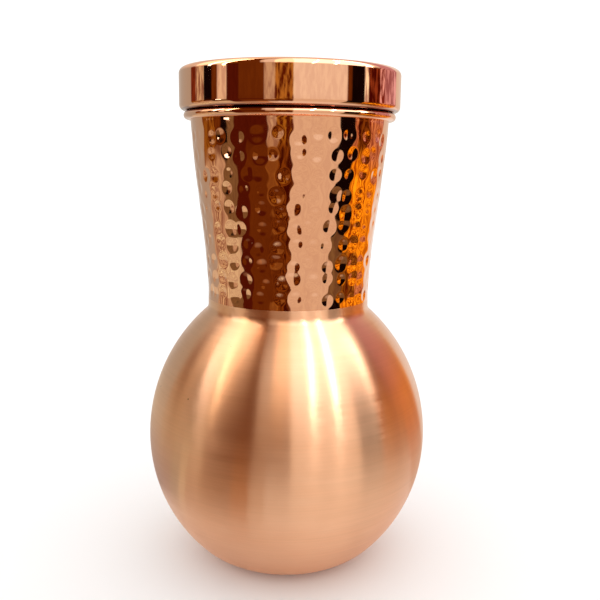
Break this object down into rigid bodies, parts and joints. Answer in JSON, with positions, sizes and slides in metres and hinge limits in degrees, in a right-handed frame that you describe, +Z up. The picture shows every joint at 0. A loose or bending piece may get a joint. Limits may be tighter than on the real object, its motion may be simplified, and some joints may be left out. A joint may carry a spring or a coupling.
{
  "type": "lidded water jug",
  "caption": "Round-bellied copper water jug with a flared hammered neck, a rolled rim and a flat lift-off lid with a plug and seal.",
  "frame": {"origin": "centre of the flat base, on the surface that the jug stands on", "axes": "+Z up through the centre of the mouth and the lid; the jug is round, so +X and +Y are free"},
  "size_m": [0.141, 0.141, 0.2439],
  "materials": {
    "satin_copper": "copper, brushed round the axis to a satin",
    "hammered_copper": "copper, hammered by hand and polished",
    "polished_copper": "copper, mirror polished",
    "plain_copper": "copper as spun, inside the lid",
    "copper_wire": "drawn soft copper wire",
    "braze": "brass filler metal",
    "solder": "food-safe tin solder",
    "silicone": "milky silicone"
  },
  "bodies": {
    "jug": {"base_bowl": "satin_copper", "shoulder_shell": "satin_copper", "belly_braze": "braze", "neck": "hammered_copper", "neck_braze": "braze", "rim_wire": "copper_wire"},
    "seal": {"lid_seal": "silicone"},
    "lid": {"lid_plug": "plain_copper", "lid_cap": "polished_copper", "lid_solder": "solder"}
  },
  "joints": [
    {"name": "lid_lift", "type": "slide", "parent": "jug", "child": "seal", "axis": [0, 0, 1], "range_m": [0, 0.1]},
    {"name": "lid_turn", "type": "hinge", "parent": "seal", "child": "lid", "pos_m": [0, 0, 0.2152], "axis": [0, 0, 1], "continuous": true}
  ]
}
